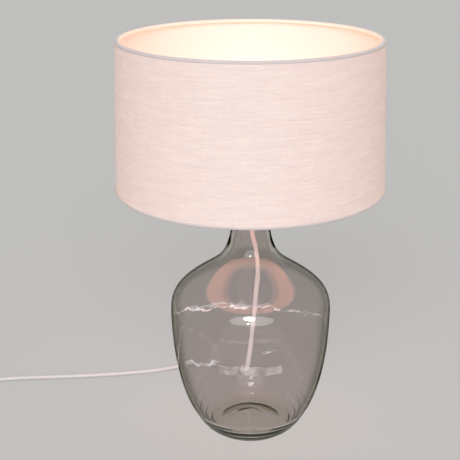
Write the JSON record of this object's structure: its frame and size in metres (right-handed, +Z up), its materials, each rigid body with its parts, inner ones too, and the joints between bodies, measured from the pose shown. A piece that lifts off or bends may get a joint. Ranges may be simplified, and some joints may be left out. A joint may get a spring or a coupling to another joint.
{
  "type": "table lamp",
  "caption": "Table lamp with a gauze drum shade on a smoky glass bottle base, with a mains lead, in-line switch and plug.",
  "frame": {"origin": "centre of the foot on the table, under the lamp's axis", "axes": "+Z up along the lamp's axis, -Y towards the front, the mains lead leaves at the back (+Y) and runs to -X"},
  "size_m": [0.5565, 0.3852, 0.466],
  "materials": {
    "smoky_glass": "clear thin glass, smoky grey",
    "white_plastic": "glossy moulded white",
    "grommet_plastic": "satin moulded white",
    "grey_rubber": "matte",
    "brushed_metal": "brushed, clear coated",
    "zinc_steel": "bright zinc plate",
    "nickel": "nickel plate",
    "brass": "rolled brass",
    "ceramic_core": "satin insulating ceramic",
    "core_brown": "brown core insulation",
    "core_blue": "blue core insulation",
    "gauze_fabric": "crinkled cotton gauze",
    "trim_fabric": "plain woven edge tape",
    "shade_liner": "satin styrene sheet",
    "white_wire": "white powder coat",
    "opal_glass": "opal white, lit",
    "black_glass": "black vitreous insulator",
    "solder": "dull solder",
    "phosphor": "yellow phosphor coat",
    "white_cord": "satin white sheath",
    "tie_plastic": "matte",
    "black_sleeve": "satin black sleeve"
  },
  "bodies": {
    "root": {"glass_bottle": "smoky_glass", "cord_grommet": "grommet_plastic", "neck_plug": "grey_rubber", "bottle_cap": "brushed_metal", "clamp_washer": "zinc_steel", "lock_nuts": "zinc_steel", "threaded_nipple": "zinc_steel", "nipple_bush": "white_plastic", "holder_base": "white_plastic", "locking_screw": "zinc_steel", "holder_skirt": "white_plastic", "contact_core": "ceramic_core", "screw_shell": "nickel", "centre_contact": "brass", "side_contact": "brass", "holder_terminals": "brass", "holder_terminal_screws": "zinc_steel", "live_core": "core_brown", "neutral_core": "core_blue", "cord_inside": "white_cord", "cord_to_switch": "white_cord", "cord_to_coil": "white_cord", "cord_to_plug": "white_cord", "cord_coil": "white_cord", "cord_tie": "tie_plastic", "switch_base": "white_plastic", "switch_cover": "white_plastic", "lever_bracket": "brass", "fixed_contact": "brass", "neutral_bar": "brass", "terminal_screws": "zinc_steel", "clamp_screws": "zinc_steel", "cover_screws": "zinc_steel", "cord_clamps": "white_plastic", "switch_cores": "core_brown", "switch_reliefs": "grommet_plastic", "plug_body": "white_plastic", "plug_pins": "nickel", "pin_sleeves": "black_sleeve", "plug_relief": "grommet_plastic"},
    "shade": {"shade_fabric": "gauze_fabric", "shade_liner": "shade_liner", "top_wire_ring": "white_wire", "bottom_wire_ring": "white_wire", "top_trim": "trim_fabric", "bottom_trim": "trim_fabric", "spider_hub": "white_wire", "spider_arms": "white_wire"},
    "clamp_ring": {"shade_clamp_ring": "white_plastic"},
    "bulb_rise": {"bulb_insulator": "black_glass", "bulb_contact": "solder"},
    "bulb": {"bulb_envelope": "opal_glass", "bulb_cap": "nickel", "bulb_stem": "opal_glass", "bulb_filaments": "phosphor", "filament_wires": "nickel"},
    "rocker": {"switch_rocker": "white_plastic", "rocker_plunger": "white_plastic", "plunger_spring": "zinc_steel"},
    "lever": {"contact_lever": "brass"}
  },
  "joints": [
    {"name": "shade_swivel", "type": "hinge", "parent": "root", "child": "shade", "pos_m": [0, 0, 0.324], "axis": [0, 0, 1], "continuous": true},
    {"name": "clamp_ring_turn", "type": "hinge", "parent": "root", "child": "clamp_ring", "pos_m": [0, 0, 0.327], "axis": [0, 0, 1], "range_deg": [0, 720]},
    {"name": "bulb_rise", "type": "slide", "parent": "root", "child": "bulb_rise", "axis": [0, 0, 1], "range_m": [0, 0.0182]},
    {"name": "bulb_turn", "type": "hinge", "parent": "bulb_rise", "child": "bulb", "pos_m": [0, 0, 0.339], "axis": [0, 0, 1], "range_deg": [0, 1800]},
    {"name": "switch_rocker", "type": "hinge", "parent": "root", "child": "rocker", "pos_m": [-0.393, -0.04, 0.0135], "axis": [-1, 0, 0], "range_deg": [0, 14]},
    {"name": "contact_lever", "type": "hinge", "parent": "root", "child": "lever", "pos_m": [-0.393, -0.04, 0.0052], "axis": [-1, 0, 0], "range_deg": [-10, 0]}
  ],
  "couplings": [
    {"joint": "bulb_rise", "follows": "bulb_turn", "m_per_rad": 0.000576},
    {"joint": "contact_lever", "follows": "switch_rocker", "ratio": -0.714}
  ]
}
